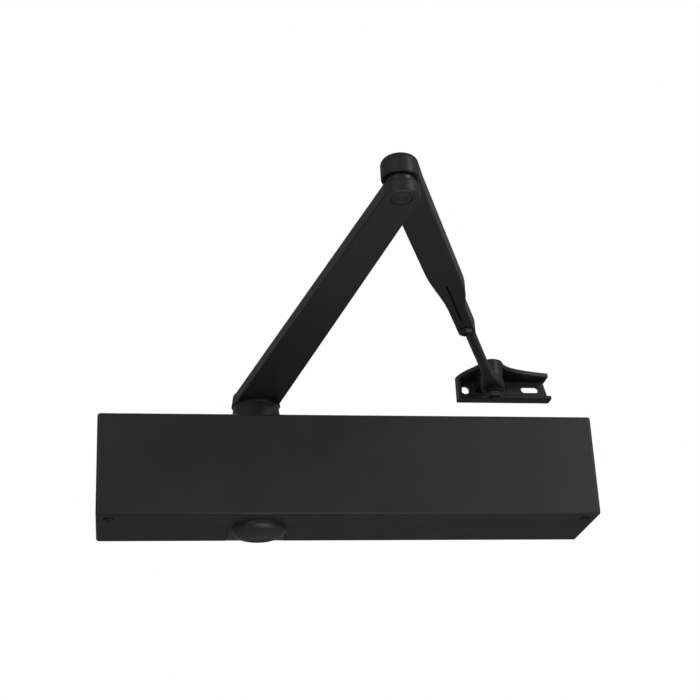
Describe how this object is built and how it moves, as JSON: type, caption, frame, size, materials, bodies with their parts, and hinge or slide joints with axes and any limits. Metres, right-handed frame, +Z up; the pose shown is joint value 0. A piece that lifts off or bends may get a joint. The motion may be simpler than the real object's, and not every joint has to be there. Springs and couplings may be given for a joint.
{
  "type": "surface door closer",
  "caption": "Hydraulic surface door closer: long box cover over a rack-and-pinion body, flat main arm, tapered forearm with adjustable rod, and a small frame shoe.",
  "frame": {"origin": "centre of the casting's flat back face, which bears on the door", "axes": "+X along the body towards the shoe, +Y into the door, +Z up"},
  "size_m": [0.311, 0.3137, 0.121],
  "materials": {
    "satin_black": "satin black powder coat with a fine even texture, slightly worn at the edges",
    "cast_iron": "as-cast iron under thin dark primer, machined on the back lands and bores",
    "zinc_steel": "machined or zinc-plated steel, finely brushed",
    "spring_steel": "oil-tempered spring steel with a dark film of oil",
    "brass": "turned brass, slightly dulled",
    "rubber": "matt nitrile rubber",
    "cap_black": "moulded black nylon with a semi-gloss surface"
  },
  "bodies": {
    "body": {"cover": "satin_black", "body_casting": "cast_iron", "end_cap_left": "zinc_steel", "end_cap_right": "zinc_steel", "end_cap_seal_left": "rubber", "end_cap_seal_right": "rubber", "main_spring": "spring_steel", "pinion_bearing_bottom": "zinc_steel", "pinion_bearing_top": "zinc_steel", "pinion_seal_bottom": "rubber", "pinion_seal_top": "rubber", "gland_nut_bottom": "zinc_steel", "gland_nut_top": "zinc_steel", "pinion_cap": "cap_black", "cover_bracket_left": "zinc_steel", "cover_bracket_right": "zinc_steel", "cover_screw_left": "satin_black", "cover_screw_right": "satin_black", "bracket_screw_left_lower": "zinc_steel", "bracket_screw_left_upper": "zinc_steel", "bracket_screw_right_lower": "zinc_steel", "bracket_screw_right_upper": "zinc_steel"},
    "arm": {"main_arm": "satin_black", "arm_screw": "satin_black", "arm_washer": "satin_black", "elbow_pin": "satin_black", "elbow_washer": "cap_black", "elbow_clip": "spring_steel", "pinion_shaft": "zinc_steel"},
    "forearm": {"forearm": "satin_black", "clamp_screw": "satin_black"},
    "rod": {"rod": "satin_black"},
    "shoe": {"shoe": "satin_black", "shoe_pin": "satin_black", "shoe_washer": "satin_black", "shoe_nut": "satin_black"},
    "piston": {"piston": "zinc_steel", "piston_ring": "rubber", "check_valve": "brass"},
    "power_adjuster": {"power_adjuster": "zinc_steel"},
    "spring_seat": {"spring_seat": "zinc_steel"},
    "sweep_valve_carrier": {"sweep_valve_seal": "rubber"},
    "sweep_valve": {"sweep_valve": "brass"},
    "latch_valve_carrier": {"latch_valve_seal": "rubber"},
    "latch_valve": {"latch_valve": "brass"},
    "backcheck_valve_carrier": {"backcheck_valve_seal": "rubber"},
    "backcheck_valve": {"backcheck_valve": "brass"}
  },
  "joints": [
    {"name": "arm_turn", "type": "hinge", "parent": "body", "child": "arm", "pos_m": [-0.056, -0.028, 0.05], "axis": [0, 0, 1], "range_deg": [0, 170], "stiffness_Nm_per_rad": 6, "springref_deg": -28.65},
    {"name": "piston_slide", "type": "slide", "parent": "body", "child": "piston", "axis": [1, 0, 0], "range_m": [0, 0.0267], "deforming": ["main_spring"]},
    {"name": "elbow", "type": "hinge", "parent": "arm", "child": "forearm", "pos_m": [-0.01075, -0.30432, 0.0647], "axis": [0, 0, 1], "range_deg": [-125, 12]},
    {"name": "rod_slide", "type": "slide", "parent": "forearm", "child": "rod", "axis": [0.3749, 0.9271, 0], "range_m": [-0.022, 0.03]},
    {"name": "shoe_pivot", "type": "hinge", "parent": "rod", "child": "shoe", "pos_m": [0.101, -0.028, 0.06485], "axis": [0, 0, 1], "range_deg": [-60, 60]},
    {"name": "power_adjust", "type": "hinge", "parent": "body", "child": "power_adjuster", "pos_m": [0.139, -0.028, 0], "axis": [1, 0, 0], "range_deg": [0, 2881]},
    {"name": "seat_slide", "type": "slide", "parent": "body", "child": "spring_seat", "axis": [-1, 0, 0], "range_m": [0, 0.014]},
    {"name": "sweep_valve_travel", "type": "slide", "parent": "body", "child": "sweep_valve_carrier", "axis": [-1, 0, 0], "range_m": [-0.0008, 0.0008]},
    {"name": "sweep_valve_turn", "type": "hinge", "parent": "sweep_valve_carrier", "child": "sweep_valve", "pos_m": [-0.13, -0.04625, -0.02165], "axis": [-1, 0, 0], "range_deg": [-361, 361]},
    {"name": "latch_valve_travel", "type": "slide", "parent": "body", "child": "latch_valve_carrier", "axis": [-1, 0, 0], "range_m": [-0.0008, 0.0008]},
    {"name": "latch_valve_turn", "type": "hinge", "parent": "latch_valve_carrier", "child": "latch_valve", "pos_m": [-0.13, -0.04625, 0.02165], "axis": [-1, 0, 0], "range_deg": [-361, 361]},
    {"name": "backcheck_valve_travel", "type": "slide", "parent": "body", "child": "backcheck_valve_carrier", "axis": [1, 0, 0], "range_m": [-0.0008, 0.0008]},
    {"name": "backcheck_valve_turn", "type": "hinge", "parent": "backcheck_valve_carrier", "child": "backcheck_valve", "pos_m": [0.13, -0.04625, -0.02165], "axis": [1, 0, 0], "range_deg": [-361, 361]}
  ],
  "couplings": [
    {"joint": "piston_slide", "follows": "arm_turn", "m_per_rad": 0.009},
    {"joint": "power_adjust", "follows": "seat_slide", "rad_per_m": 3590.4},
    {"joint": "sweep_valve_turn", "follows": "sweep_valve_travel", "rad_per_m": 7854},
    {"joint": "latch_valve_turn", "follows": "latch_valve_travel", "rad_per_m": 7854},
    {"joint": "backcheck_valve_turn", "follows": "backcheck_valve_travel", "rad_per_m": 7854}
  ]
}
